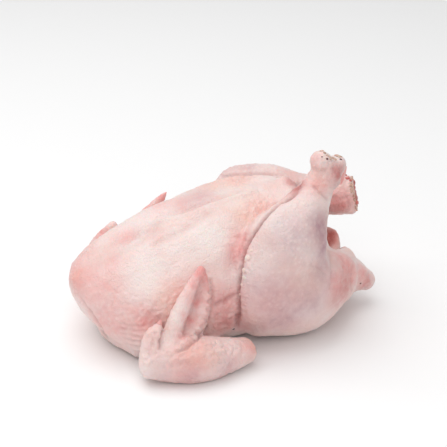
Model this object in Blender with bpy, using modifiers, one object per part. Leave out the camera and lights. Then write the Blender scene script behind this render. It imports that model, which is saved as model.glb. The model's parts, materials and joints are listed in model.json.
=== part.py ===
"""A whole raw chicken lying on its back, breast up, as one closed solid.

Units are metres. +X runs from the neck end to the tail, +Z is up, and the bird's right side is at -Y.
The masses of the body and limbs are lofted one by one, fused, and drawn together like skin over muscle.
"""

import math

import bmesh
import bpy
import numpy as np

# Driving dimensions of the dressed bird
BODY_LENGTH = 0.222  # neck end to the root of the tail
BREAST_WIDTH = 0.130
BREAST_HEIGHT = 0.113
NECK_END_X = -0.118

# How finely the forms are lofted and drawn together
RING_POINTS = 40
RINGS_PER_LIMB = 26
RINGS_OF_TORSO = 60
CAP_RINGS = 5
SKIN_VOXEL = 0.0022
SKIN_SMOOTHING = 6
SKIN_FACES = 9600

# The torso: share of the body's length, then half width, underside and keel as shares of the
# half width, the height and the height, then the keel's and the lobes' relief in metres
TORSO = (
    (0.000, 0.12, 0.40, 0.52, 0.000, 0.000),
    (0.020, 0.37, 0.30, 0.56, 0.000, 0.001),
    (0.060, 0.575, 0.20, 0.60, 0.000, 0.004),
    (0.120, 0.765, 0.08, 0.65, 0.001, 0.007),
    (0.200, 0.92, 0.00, 0.71, 0.003, 0.009),
    (0.320, 0.99, -0.02, 0.82, 0.004, 0.008),
    (0.460, 0.945, -0.02, 0.91, 0.004, 0.006),
    (0.600, 0.85, -0.02, 0.955, 0.004, 0.004),
    (0.720, 0.78, -0.02, 0.985, 0.003, 0.002),
    (0.830, 0.66, 0.00, 0.985, 0.002, 0.000),
    (0.880, 0.58, 0.03, 0.90, 0.000, 0.000),
    (0.930, 0.50, 0.07, 0.68, 0.000, 0.000),
    (0.970, 0.38, 0.11, 0.50, 0.000, 0.000),
    (1.000, 0.20, 0.15, 0.36, 0.000, 0.000),
)
WIDEST_SHARE = 0.44  # height of the widest line, as a share of each section's height
TOP_EXPONENT = 2.1
BACK_EXPONENT = 2.6
LOBE_OFFSET = 0.027
LOBE_SPREAD = 0.016
KEEL_SPREAD = 0.006

THIGH_LEAN = 0.42  # how far each thigh's flat side leans outwards, as a slope

# Limbs, as stations along each: middle, then half width and half thickness.
# The bird's right is the -Y side; its right leg stands up and its left one lies back.
RIGHT_THIGH = (
    ((0.089, -0.029, 0.035), 0.0255, 0.0205),
    ((0.056, -0.046, 0.038), 0.037, 0.029),
    ((0.024, -0.050, 0.042), 0.038, 0.026),
)
RIGHT_KNEE = (
    ((0.013, -0.044, 0.025), 0.018, 0.015),
    ((0.016, -0.056, 0.043), 0.021, 0.020),
    ((0.022, -0.057, 0.064), 0.024, 0.022),
)
RIGHT_DRUMSTICK = (
    ((0.024, -0.053, 0.062), 0.031, 0.025),
    ((0.043, -0.049, 0.086), 0.033, 0.027),
    ((0.059, -0.044, 0.108), 0.0188, 0.0180),
    ((0.0725, -0.040, 0.126), 0.0122, 0.0112),
    ((0.078, -0.0385, 0.1350), 0.0128, 0.0110),
)
RIGHT_CONDYLES = (
    ((0.0720, -0.040, 0.1438), 0.0089),
    ((0.0865, -0.036, 0.1372), 0.0084),
    ((0.0835, -0.038, 0.1252), 0.0071),
)
LEFT_THIGH = (
    ((0.090, 0.028, 0.036), 0.026, 0.021),
    ((0.058, 0.044, 0.038), 0.037, 0.027),
    ((0.034, 0.050, 0.046), 0.037, 0.023),
)
LEFT_KNEE = (
    ((0.018, 0.042, 0.014), 0.019, 0.016),
    ((0.0225, 0.051, 0.040), 0.022, 0.020),
    ((0.0305, 0.054, 0.064), 0.0215, 0.0215),
)
LEFT_DRUMSTICK = (
    ((0.042, 0.054, 0.0805), 0.0285, 0.024),
    ((0.065, 0.049, 0.081), 0.028, 0.024),
    ((0.094, 0.040, 0.081), 0.0185, 0.0170),
    ((0.109, 0.033, 0.081), 0.0155, 0.0145),
    ((0.1245, 0.026, 0.082), 0.0160, 0.0140),
)
LEFT_CONDYLES = (
    ((0.1285, 0.028, 0.0880), 0.0104),
    ((0.1285, 0.024, 0.0765), 0.0104),
)
UPPER_ARM = (
    ((-0.074, 0.046, 0.028), 0.018, 0.017),
    ((-0.042, 0.054, 0.011), 0.011, 0.011),
    ((-0.010, 0.066, 0.009), 0.008, 0.009),
)
FOREARM = (
    ((-0.002, 0.077, 0.0125), 0.0095, 0.0110),
    ((-0.022, 0.081, 0.0135), 0.0140, 0.0150),
    ((-0.047, 0.084, 0.016), 0.0175, 0.0175),
    ((-0.068, 0.080, 0.017), 0.0160, 0.0145),
    ((-0.0825, 0.0765, 0.0185), 0.0140, 0.0130),
)
RIGHT_FINGER = (
    ((-0.0635, -0.078, 0.0205), 0.0090, 0.0085),
    ((-0.0595, -0.0745, 0.0395), 0.0078, 0.0070),
    ((-0.047, -0.069, 0.062), 0.0060, 0.0055),
    ((-0.034, -0.063, 0.079), 0.0034, 0.0032),
)
RIGHT_WEB = (
    ((-0.060, -0.075, 0.024), 0.0130, 0.0060),
    ((-0.048, -0.071, 0.040), 0.0150, 0.0050),
    ((-0.039, -0.067, 0.058), 0.0110, 0.0042),
    ((-0.033, -0.063, 0.074), 0.0045, 0.0032),
)
LEFT_FINGER = (
    ((-0.0805, 0.072, 0.0265), 0.0100, 0.0090),
    ((-0.060, 0.068, 0.0495), 0.0075, 0.0070),
    ((-0.0395, 0.064, 0.0715), 0.0055, 0.0050),
    ((-0.0243, 0.060, 0.0884), 0.0032, 0.0030),
)
LEFT_WEB = (
    ((-0.066, 0.070, 0.030), 0.0130, 0.0060),
    ((-0.050, 0.067, 0.048), 0.0130, 0.0050),
    ((-0.036, 0.064, 0.064), 0.0095, 0.0042),
    ((-0.025, 0.061, 0.081), 0.0042, 0.0032),
)
RIGHT_THUMB = (
    ((-0.0795, -0.077, 0.022), 0.0085, 0.0095),
    ((-0.078, -0.0765, 0.0335), 0.0076, 0.0080),
    ((-0.0745, -0.075, 0.0405), 0.0060, 0.0062),
    ((-0.0712, -0.0735, 0.0440), 0.0030, 0.0032),
)
LEFT_THUMB = (
    ((-0.0845, 0.071, 0.031), 0.0085, 0.0085),
    ((-0.0758, 0.066, 0.0565), 0.0060, 0.0056),
    ((-0.0660, 0.062, 0.0690), 0.0042, 0.0040),
)
RIGHT_RUMP = (
    ((0.078, -0.022, 0.040), 0.027, 0.018),
    ((0.104, -0.015, 0.037), 0.019, 0.013),
)
LEFT_RUMP = (
    ((0.078, 0.024, 0.044), 0.028, 0.016),
    ((0.106, 0.016, 0.040), 0.020, 0.010),
)
TAIL = (
    ((0.098, -0.004, 0.028), 0.026, 0.018),
    ((0.114, -0.008, 0.0265), 0.019, 0.0165),
    ((0.1285, -0.010, 0.0205), 0.0090, 0.0085),
)
LEFT_LOBE = (
    ((-0.034, 0.030, 0.072), 0.022, 0.0190),
    ((-0.004, 0.029, 0.083), 0.022, 0.0205),
    ((0.020, 0.026, 0.0895), 0.021, 0.0205),
    ((0.048, 0.021, 0.0915), 0.019, 0.0190),
    ((0.068, 0.016, 0.0910), 0.015, 0.0160),
)
NECK_SKIN = (
    ((-0.084, 0.030, 0.012), 0.012, 0.009),
    ((-0.085, -0.010, 0.011), 0.012, 0.009),
    ((-0.073, -0.038, 0.010), 0.012, 0.009),
)

# The body cavity's mouth lies between the breast's tip and the tail; it runs forward inside
CAVITY = (
    ((0.107, 0.0, 0.073), 0.021, 0.016),
    ((0.094, 0.0, 0.065), 0.024, 0.018),
    ((0.060, 0.0, 0.053), 0.028, 0.025),
    ((0.010, 0.0, 0.052), 0.026, 0.023),
)

# Where skin stretches over a joint and the masses melt into each other: place and reach
SOFT_PLACES = (
    ((0.042, -0.078, 0.062), 0.028),
    ((0.072, -0.052, 0.062), 0.026),
    ((0.046, 0.074, 0.060), 0.026),
    ((-0.084, -0.054, 0.036), 0.022),
    ((-0.084, 0.054, 0.036), 0.022),
    ((0.106, -0.012, 0.034), 0.020),
    ((0.104, 0.012, 0.034), 0.020),
    ((0.092, 0.000, 0.090), 0.016),
    ((0.079, -0.038, 0.1415), 0.012),
)
SOFT_SMOOTHING = 30

TABLE = 0.4  # side of the flat surface that the bird rests on
SKIN_COLOUR = (0.82, 0.56, 0.49, 1.0)  # pale pink, linear
SKIN_ROUGHNESS = 0.4


def smooth_between(keys, values, at):
    """A smooth curve through the values at the keys, read at the given places."""
    keys = np.asarray(keys, float)
    values = np.asarray(values, float).reshape(len(keys), -1)
    at = np.asarray(at, float)
    slopes = np.gradient(values, keys, axis=0)
    low = np.clip(np.searchsorted(keys, at, side="right") - 1, 0, len(keys) - 2)
    span = (keys[low + 1] - keys[low])[:, None]
    t = (at - keys[low])[:, None] / span
    return (
        (2 * t**3 - 3 * t**2 + 1) * values[low]
        + (t**3 - 2 * t**2 + t) * span * slopes[low]
        + (3 * t**2 - 2 * t**3) * values[low + 1]
        + (t**3 - t**2) * span * slopes[low + 1]
    )


def loft(name, rings, collection):
    """A closed mesh object through rings of equal point count, each end fanned to its middle."""
    count = len(rings[0])
    points = [tuple(p) for ring in rings for p in ring]
    faces = []
    for r in range(len(rings) - 1):
        for i in range(count):
            a = r * count + i
            b = r * count + (i + 1) % count
            faces.append((a, b, b + count, a + count))
    for r, turned in ((0, True), (len(rings) - 1, False)):
        middle = len(points)
        points.append(tuple(np.mean(rings[r], axis=0)))
        for i in range(count):
            a, b = r * count + i, r * count + (i + 1) % count
            faces.append((b, a, middle) if turned else (a, b, middle))
    mesh = bpy.data.meshes.new(name)
    mesh.from_pydata(points, [], faces)
    obj = bpy.data.objects.new(name, mesh)
    collection.objects.link(obj)
    return obj


def signed_power(value, exponent):
    return np.sign(value) * np.abs(value) ** exponent


def torso(collection):
    """The trunk: breast lobes beside the keel above, a flatter back below, blunt at the neck end."""
    table = np.array(TORSO)
    shares = (1 - np.cos(np.linspace(0, math.pi, RINGS_OF_TORSO))) / 2
    rows = smooth_between(table[:, 0], table[:, 1:], shares)
    angles = np.linspace(0, 2 * math.pi, RING_POINTS * 2, endpoint=False)
    rings = []
    for share, (half, under, top, keel, lobe) in zip(shares, rows):
        x = NECK_END_X + share * BODY_LENGTH
        half = half * BREAST_WIDTH / 2
        under, top = under * BREAST_HEIGHT, top * BREAST_HEIGHT
        widest = under + WIDEST_SHARE * (top - under)
        above = np.sin(angles) > 0
        power = np.where(above, 2 / TOP_EXPONENT, 2 / BACK_EXPONENT)
        reach = np.where(above, top - widest, widest - under)
        y = half * signed_power(np.cos(angles), power)
        z = widest + reach * signed_power(np.sin(angles), power)
        breast = np.clip(np.sin(angles), 0, 1)
        z += breast * lobe * np.exp(-(((np.abs(y) - LOBE_OFFSET) / LOBE_SPREAD) ** 2))
        z += breast * keel * np.exp(-((y / KEEL_SPREAD) ** 2))
        rings.append(np.column_stack([np.full_like(y, x), y, z]))
    return loft("torso", rings, collection)


def limb(name, stations, broadside, collection, blunt=1.0):
    """A limb through its stations; broadside is the direction that its half width lies in."""
    path = np.array([middle for middle, _, _ in stations], float)
    sizes = np.array([size for _, *size in stations], float)
    steps = np.linalg.norm(np.diff(path, axis=0), axis=1)
    keys = np.concatenate([[0], np.cumsum(steps)])
    places = np.linspace(0, keys[-1], RINGS_PER_LIMB)
    middles = smooth_between(keys, path, places)
    sizes = smooth_between(keys, sizes, places)
    tangents = np.gradient(middles, axis=0)
    tangents /= np.linalg.norm(tangents, axis=1)[:, None]
    caps = np.linspace(0, math.pi / 2, CAP_RINGS + 1)[1:-1]
    rounds = [(0, -a) for a in caps[::-1]]
    rounds += [(i, 0.0) for i in range(RINGS_PER_LIMB)]
    rounds += [(-1, a) for a in caps]
    angles = np.linspace(0, 2 * math.pi, RING_POINTS, endpoint=False)
    rings = []
    for i, cap in rounds:
        tangent, (wide, thick) = tangents[i], sizes[i] * math.cos(cap)
        across = np.array(broadside, float)
        across -= tangent * (across @ tangent)
        across /= np.linalg.norm(across)
        through = np.cross(tangent, across)
        centre = middles[i] + tangent * math.sin(cap) * sizes[i].min() * blunt
        rings.append(
            centre
            + wide * np.cos(angles)[:, None] * across
            + thick * np.sin(angles)[:, None] * through
        )
    return loft(name, rings, collection)


def on_side(stations, side):
    """The stations on that side of the bird; side is -1 on its right and 1 on its left."""
    return [((x, side * abs(y), z), *sizes) for (x, y, z), *sizes in stations]


def knobs(name, condyles, collection):
    """The rounded bone ends at a hock."""
    for i, (middle, radius) in enumerate(condyles):
        mesh = bpy.data.meshes.new(name)
        knob = bmesh.new()
        bmesh.ops.create_uvsphere(knob, u_segments=20, v_segments=12, radius=radius)
        bmesh.ops.translate(knob, vec=middle, verts=knob.verts)
        knob.to_mesh(mesh)
        knob.free()
        collection.objects.link(bpy.data.objects.new(f"{name}_{i}", mesh))


def legs(collection):
    upright, along, forward = (0, 0, 1), (-0.78, 0, 0.62), (1, 0, 0)
    limb("thigh_right", RIGHT_THIGH, (0, -THIGH_LEAN, 1), collection)
    limb("thigh_left", LEFT_THIGH, (0, THIGH_LEAN, 1), collection)
    limb("knee_right", RIGHT_KNEE, forward, collection)
    limb("knee_left", LEFT_KNEE, forward, collection)
    limb("drumstick_right", RIGHT_DRUMSTICK, along, collection)
    limb("drumstick_left", LEFT_DRUMSTICK, upright, collection)
    knobs("hock_right", RIGHT_CONDYLES, collection)
    knobs("hock_left", LEFT_CONDYLES, collection)
    limb("rump_right", RIGHT_RUMP, upright, collection)
    limb("rump_left", LEFT_RUMP, upright, collection)


def wings(collection):
    upright, forward = (0, 0, 1), (1, 0, 0)
    for side, sign in (("right", -1), ("left", 1)):
        limb(f"upper_arm_{side}", on_side(UPPER_ARM, sign), upright, collection)
        limb(f"forearm_{side}", on_side(FOREARM, sign), upright, collection, blunt=0.45)
    for side, finger, web, thumb in (
        ("right", RIGHT_FINGER, RIGHT_WEB, RIGHT_THUMB),
        ("left", LEFT_FINGER, LEFT_WEB, LEFT_THUMB),
    ):
        limb(f"finger_{side}", finger, forward, collection)
        limb(f"web_{side}", web, forward, collection)
        limb(f"thumb_{side}", thumb, forward, collection)


def ends(collection):
    """The tail at the rear, and the loose neck skin tucked under the front."""
    limb("tail", TAIL, (0, 1, 0), collection)
    limb("left_lobe", LEFT_LOBE, (0, 1, 0), collection)
    limb("neck_skin", NECK_SKIN, (1, 0, 0), collection)


def evaluated_mesh(obj, name):
    bpy.context.view_layer.update()
    graph = bpy.context.evaluated_depsgraph_get()
    mesh = bpy.data.meshes.new_from_object(obj.evaluated_get(graph))
    mesh.name = name
    return mesh


def fused(masses, name):
    """One mesh of all the masses, with the masses removed."""
    first, *rest = list(masses.objects)
    others = bpy.data.collections.new("other_masses")
    for obj in rest:
        masses.objects.unlink(obj)
        others.objects.link(obj)
    bpy.context.scene.collection.children.link(others)
    join = first.modifiers.new("join", "BOOLEAN")
    join.operation = "UNION"
    join.operand_type = "COLLECTION"
    join.collection = others
    join.solver = "MANIFOLD"
    mesh = evaluated_mesh(first, name)
    for obj in [first, *rest]:
        bpy.data.objects.remove(obj)
    for collection in (masses, others):
        bpy.data.collections.remove(collection)
    return mesh


def cut(obj, name, cutter, solver="EXACT"):
    step = obj.modifiers.new(name, "BOOLEAN")
    step.operation = "DIFFERENCE"
    step.solver = solver
    step.object = cutter
    cutter.hide_render = True
    cutter.display_type = "WIRE"


def draw_skin(obj):
    """Draws one skin over the fused masses, as an even mesh."""
    remesh = obj.modifiers.new("skin", "REMESH")
    remesh.mode = "VOXEL"
    remesh.voxel_size = SKIN_VOXEL
    obj.data = evaluated_mesh(obj, obj.name)
    obj.modifiers.clear()
    places = np.array([place for place, _ in SOFT_PLACES])
    reaches = np.array([reach for _, reach in SOFT_PLACES])
    points = np.array([v.co for v in obj.data.vertices])
    away = np.linalg.norm(points[:, None] - places[None], axis=2) / reaches
    weights = np.exp(-away.min(axis=1) ** 2)
    group = obj.vertex_groups.new(name="soft places")
    for i in np.nonzero(weights > 0.02)[0]:
        group.add([int(i)], float(weights[i]), "REPLACE")
    melt = obj.modifiers.new("melt", "SMOOTH")
    melt.vertex_group = group.name
    melt.iterations = SOFT_SMOOTHING
    tension = obj.modifiers.new("tension", "SMOOTH")
    tension.iterations = SKIN_SMOOTHING


def thin_out(obj):
    """Keeps about SKIN_FACES triangles."""
    count = sum(len(p.vertices) - 2 for p in evaluated_mesh(obj, "count").polygons)
    decimate = obj.modifiers.new("fewer faces", "DECIMATE")
    decimate.ratio = min(1.0, SKIN_FACES / count)


def table_below(collection):
    """A block whose top is the surface that the bird's back, thighs and wings rest flat on."""
    mesh = bpy.data.meshes.new("table")
    block = bmesh.new()
    bmesh.ops.create_cube(block, size=TABLE)
    bmesh.ops.translate(block, vec=(0, 0, -TABLE / 2), verts=block.verts)
    block.to_mesh(mesh)
    block.free()
    table = bpy.data.objects.new("table", mesh)
    collection.objects.link(table)
    return table


def stand_over_origin(obj, moved):
    """Moves the objects so that obj's box is centred over the origin, seen from above."""
    points = np.array([v.co for v in evaluated_mesh(obj, "box").vertices])
    centre = (points.min(axis=0) + points.max(axis=0)) / 2
    for other in moved:
        other.location = (-centre[0], -centre[1], 0)


def raw_skin():
    material = bpy.data.materials.new("raw chicken skin")
    material.use_nodes = True
    shader = material.node_tree.nodes["Principled BSDF"]
    shader.inputs["Base Color"].default_value = SKIN_COLOUR
    shader.inputs["Roughness"].default_value = SKIN_ROUGHNESS
    shader.inputs["Metallic"].default_value = 0.0
    return material


def main():
    for obj in list(bpy.data.objects):
        bpy.data.objects.remove(obj)
    scene = bpy.context.scene.collection
    masses, cutters, bird = (bpy.data.collections.new(n) for n in ("masses", "cutters", "chicken"))
    for collection in (masses, cutters, bird):
        scene.children.link(collection)
    torso(masses)
    legs(masses)
    wings(masses)
    ends(masses)
    chicken = bpy.data.objects.new("whole_raw_chicken", fused(masses, "whole_raw_chicken"))
    bird.objects.link(chicken)
    cavity = limb("cavity", CAVITY, (0, 1, 0), cutters, blunt=0.5)
    cut(chicken, "body cavity", cavity, "MANIFOLD")
    draw_skin(chicken)
    thin_out(chicken)
    cut(chicken, "flat rest", table_below(cutters))
    stand_over_origin(chicken, [chicken, *cutters.objects])
    chicken.data.materials.append(raw_skin())


main()
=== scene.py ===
"""The looks of a whole raw chicken on its back, breast up: one skin drawn over flesh and bone.

Units are metres. +X runs to the tail, +Z is up, the bird's right side is at -Y, towards the camera.
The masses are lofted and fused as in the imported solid, then the skin's folds, pimples and colours are added.
"""

import json
import math

import bmesh
import bpy
import numpy as np
from mathutils import Matrix, Vector, noise
from mathutils.bvhtree import BVHTree

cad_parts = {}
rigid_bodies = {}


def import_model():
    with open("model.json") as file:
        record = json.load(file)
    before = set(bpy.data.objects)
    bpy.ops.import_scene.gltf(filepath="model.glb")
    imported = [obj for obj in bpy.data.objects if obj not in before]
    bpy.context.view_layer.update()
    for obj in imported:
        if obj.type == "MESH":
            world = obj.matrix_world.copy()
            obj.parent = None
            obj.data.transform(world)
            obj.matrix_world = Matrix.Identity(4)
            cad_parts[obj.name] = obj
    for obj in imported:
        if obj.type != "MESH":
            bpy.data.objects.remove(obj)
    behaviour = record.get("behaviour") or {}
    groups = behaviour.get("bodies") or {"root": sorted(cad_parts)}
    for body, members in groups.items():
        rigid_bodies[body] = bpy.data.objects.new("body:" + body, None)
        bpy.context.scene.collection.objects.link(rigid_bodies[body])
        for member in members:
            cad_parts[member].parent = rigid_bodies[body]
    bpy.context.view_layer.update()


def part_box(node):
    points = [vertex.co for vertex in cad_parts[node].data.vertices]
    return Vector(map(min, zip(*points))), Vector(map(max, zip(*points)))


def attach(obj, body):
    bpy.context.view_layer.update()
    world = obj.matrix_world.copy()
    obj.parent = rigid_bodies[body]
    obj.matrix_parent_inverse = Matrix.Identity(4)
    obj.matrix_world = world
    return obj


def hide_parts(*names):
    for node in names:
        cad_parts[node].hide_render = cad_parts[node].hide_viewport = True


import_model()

NODE = "whole_raw_chicken"
MM = 0.001

# The bird's own directions; +X runs to the tail
LENGTHWISE = (1, 0, 0)
SIDEWAYS = (0, 1, 0)
UPRIGHT = (0, 0, 1)

# Driving dimensions of the dressed bird
BODY_LENGTH = 0.222  # neck end to the root of the tail
BREAST_WIDTH = 0.130
BREAST_HEIGHT = 0.113
NECK_END_X = -0.118

# How finely the forms are lofted and drawn together
RING_POINTS = 56
RINGS_PER_LIMB = 36
RINGS_OF_TORSO = 90
CAP_RINGS = 6
KNOB_SEGMENTS = (32, 20)  # round a bone end, and from pole to pole
SKIN_VOXEL = 0.0010
SKIN_SMOOTHING = 13
SOFT_SMOOTHING = 120
SOFT_LEAST = 0.02  # softness below which a place gets no extra smoothing

# The torso: share of the body's length, then half width, underside and keel as shares of the
# half width, the height and the height, then the keel's and the lobes' relief in metres
TORSO = (
    (0.000, 0.12, 0.40, 0.52, 0.000, 0.000),
    (0.020, 0.37, 0.30, 0.56, 0.000, 0.001),
    (0.060, 0.575, 0.20, 0.60, 0.000, 0.004),
    (0.120, 0.765, 0.08, 0.65, 0.001, 0.007),
    (0.200, 0.92, 0.00, 0.71, 0.003, 0.009),
    (0.320, 0.99, -0.02, 0.82, 0.004, 0.008),
    (0.460, 0.945, -0.02, 0.91, 0.004, 0.006),
    (0.600, 0.85, -0.02, 0.955, 0.004, 0.004),
    (0.720, 0.78, -0.02, 0.985, 0.003, 0.002),
    (0.830, 0.66, 0.00, 0.985, 0.002, 0.000),
    (0.880, 0.58, 0.03, 0.90, 0.000, 0.000),
    (0.930, 0.50, 0.07, 0.68, 0.000, 0.000),
    (0.970, 0.38, 0.11, 0.50, 0.000, 0.000),
    (1.000, 0.20, 0.15, 0.36, 0.000, 0.000),
)
WIDEST_SHARE = 0.44  # height of the widest line, as a share of each section's height
TOP_EXPONENT = 2.1
BACK_EXPONENT = 2.6
LOBE_OFFSET = 0.027
LOBE_SPREAD = 0.016
KEEL_SPREAD = 0.006
THIGH_LEAN = 0.42  # how far each thigh's flat side leans outwards, as a slope
SHANK_BROADSIDE = (-0.78, 0, 0.62)  # the way that the standing drumstick's half width lies
FOREARM_BLUNT = 0.45  # reach of its round ends, as a share of the thinner half

# Limbs, as stations along each: middle, then half width and half thickness
RIGHT_THIGH = (
    ((0.089, -0.029, 0.035), 0.0255, 0.0205),
    ((0.056, -0.046, 0.038), 0.037, 0.029),
    ((0.024, -0.050, 0.042), 0.038, 0.026),
)
RIGHT_KNEE = (
    ((0.013, -0.044, 0.025), 0.018, 0.015),
    ((0.016, -0.056, 0.043), 0.021, 0.020),
    ((0.022, -0.057, 0.064), 0.024, 0.022),
)
RIGHT_DRUMSTICK = (
    ((0.024, -0.053, 0.062), 0.031, 0.025),
    ((0.043, -0.049, 0.086), 0.033, 0.027),
    ((0.059, -0.044, 0.108), 0.0188, 0.0180),
    ((0.0725, -0.040, 0.126), 0.0122, 0.0112),
    ((0.078, -0.0385, 0.1350), 0.0128, 0.0110),
)
RIGHT_CONDYLES = (
    ((0.0720, -0.040, 0.1438), 0.0089),
    ((0.0865, -0.036, 0.1372), 0.0084),
    ((0.0835, -0.038, 0.1252), 0.0071),
)
LEFT_THIGH = (
    ((0.090, 0.028, 0.036), 0.026, 0.021),
    ((0.058, 0.044, 0.038), 0.037, 0.027),
    ((0.034, 0.050, 0.046), 0.037, 0.023),
)
LEFT_KNEE = (
    ((0.018, 0.042, 0.014), 0.019, 0.016),
    ((0.0225, 0.051, 0.040), 0.022, 0.020),
    ((0.0305, 0.054, 0.064), 0.0215, 0.0215),
)
LEFT_DRUMSTICK = (
    ((0.042, 0.054, 0.0805), 0.0285, 0.024),
    ((0.065, 0.049, 0.081), 0.028, 0.024),
    ((0.094, 0.040, 0.081), 0.0185, 0.0170),
    ((0.109, 0.033, 0.081), 0.0155, 0.0145),
    ((0.1245, 0.026, 0.082), 0.0160, 0.0140),
)
LEFT_CONDYLES = (
    ((0.1285, 0.028, 0.0880), 0.0104),
    ((0.1285, 0.024, 0.0765), 0.0104),
)
UPPER_ARM = (
    ((-0.074, 0.046, 0.028), 0.018, 0.017),
    ((-0.042, 0.054, 0.011), 0.011, 0.011),
    ((-0.010, 0.066, 0.009), 0.008, 0.009),
)
FOREARM = (
    ((-0.002, 0.077, 0.0125), 0.0095, 0.0110),
    ((-0.022, 0.081, 0.0135), 0.0140, 0.0150),
    ((-0.047, 0.084, 0.016), 0.0175, 0.0175),
    ((-0.068, 0.080, 0.017), 0.0160, 0.0145),
    ((-0.0825, 0.0765, 0.0185), 0.0140, 0.0130),
)
RIGHT_FINGER = (
    ((-0.0635, -0.078, 0.0205), 0.0090, 0.0085),
    ((-0.0595, -0.0745, 0.0395), 0.0078, 0.0070),
    ((-0.047, -0.069, 0.062), 0.0060, 0.0055),
    ((-0.034, -0.063, 0.079), 0.0034, 0.0032),
)
RIGHT_WEB = (
    ((-0.060, -0.075, 0.024), 0.0130, 0.0060),
    ((-0.048, -0.071, 0.040), 0.0150, 0.0050),
    ((-0.039, -0.067, 0.058), 0.0110, 0.0042),
    ((-0.033, -0.063, 0.074), 0.0045, 0.0032),
)
LEFT_FINGER = (
    ((-0.0805, 0.072, 0.0265), 0.0100, 0.0090),
    ((-0.060, 0.068, 0.0495), 0.0075, 0.0070),
    ((-0.0395, 0.064, 0.0715), 0.0055, 0.0050),
    ((-0.0243, 0.060, 0.0884), 0.0032, 0.0030),
)
LEFT_WEB = (
    ((-0.066, 0.070, 0.030), 0.0130, 0.0060),
    ((-0.050, 0.067, 0.048), 0.0130, 0.0050),
    ((-0.036, 0.064, 0.064), 0.0095, 0.0042),
    ((-0.025, 0.061, 0.081), 0.0042, 0.0032),
)
RIGHT_THUMB = (
    ((-0.0795, -0.077, 0.022), 0.0085, 0.0095),
    ((-0.078, -0.0765, 0.0335), 0.0076, 0.0080),
    ((-0.0745, -0.075, 0.0405), 0.0060, 0.0062),
    ((-0.0712, -0.0735, 0.0440), 0.0030, 0.0032),
)
LEFT_THUMB = (
    ((-0.0845, 0.071, 0.031), 0.0085, 0.0085),
    ((-0.0758, 0.066, 0.0565), 0.0060, 0.0056),
    ((-0.0660, 0.062, 0.0690), 0.0042, 0.0040),
)
RIGHT_RUMP = (
    ((0.078, -0.022, 0.040), 0.027, 0.018),
    ((0.104, -0.015, 0.037), 0.019, 0.013),
)
LEFT_RUMP = (
    ((0.078, 0.024, 0.044), 0.028, 0.016),
    ((0.106, 0.016, 0.040), 0.020, 0.010),
)
TAIL = (
    ((0.098, -0.004, 0.028), 0.026, 0.018),
    ((0.114, -0.008, 0.0265), 0.019, 0.0165),
    ((0.1285, -0.010, 0.0205), 0.0090, 0.0085),
)
# The left lobe of the breast stands a little fuller than the right one
LEFT_LOBE = (
    ((-0.034, 0.030, 0.072), 0.022, 0.0190),
    ((-0.004, 0.029, 0.083), 0.022, 0.0205),
    ((0.020, 0.026, 0.0895), 0.021, 0.0205),
    ((0.048, 0.021, 0.0915), 0.019, 0.0190),
    ((0.068, 0.016, 0.0910), 0.015, 0.0160),
)
# The loose skin of the neck, tucked under the front
NECK_SKIN = (
    ((-0.084, 0.030, 0.012), 0.012, 0.009),
    ((-0.085, -0.010, 0.011), 0.012, 0.009),
    ((-0.073, -0.038, 0.010), 0.012, 0.009),
)

# The body cavity's mouth lies between the breast's tip and the tail; it runs forward inside
CAVITY = (
    ((0.107, 0.0, 0.073), 0.021, 0.016),
    ((0.094, 0.0, 0.065), 0.024, 0.018),
    ((0.060, 0.0, 0.053), 0.028, 0.025),
    ((0.010, 0.0, 0.052), 0.026, 0.023),
)
CAVITY_BLUNT = 0.5
CAVITY_LINING = 1.12  # how far out from the cavity's middle its raw lining reaches, in cavity radii
LINING_FADE = 6  # how fast the lining fades at its rim, for each cavity radius

# Where skin stretches over a joint and the masses melt into each other: place and reach
SOFT_PLACES = (
    ((0.042, -0.078, 0.062), 0.028),
    ((0.072, -0.052, 0.062), 0.026),
    ((0.046, 0.074, 0.060), 0.026),
    ((-0.084, -0.054, 0.036), 0.022),
    ((-0.084, 0.054, 0.036), 0.022),
    ((0.106, -0.012, 0.034), 0.020),
    ((0.104, 0.012, 0.034), 0.020),
    ((0.092, 0.000, 0.090), 0.016),
    ((0.079, -0.038, 0.1415), 0.012),
    ((0.084, -0.038, 0.125), 0.010),
    ((-0.034, 0.010, 0.088), 0.018),
    ((-0.012, 0.009, 0.096), 0.018),
    ((0.010, 0.008, 0.102), 0.017),
    ((0.032, 0.006, 0.107), 0.014),
)

# The left shank is sawn off: a place on the cut, the way it faces and how far round it reaches
LEFT_CUT = ((0.1360, 0.0240, 0.0830), (0.90, -0.40, 0.18), 0.032)
CUT_SWELL = 0.012  # length over which the shank is drawn short, so that the cut's edge stays round
CUT_RELIEF = 0.0014
CUT_GRAIN = 4 * MM  # size of the lumps on the cut
CUT_EDGE = 1 * MM  # over which skin turns into the cut's raw face
SHANK_REACH = 0.020  # from a shank's middle to clear of its skin
SHANK_FADE = 1 * MM

# The photograph's view of the bird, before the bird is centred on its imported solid
CAMERA_AZIMUTH = math.radians(-20.35)
CAMERA_HEIGHT = math.radians(23.41)
CAMERA_DISTANCE = 1.188
SEEN_WIDTH = 0.354  # width of the view at the bird
AIM = Vector((0.00716, 0.0, 0.0851))
PHOTO_SIZE = 447

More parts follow.
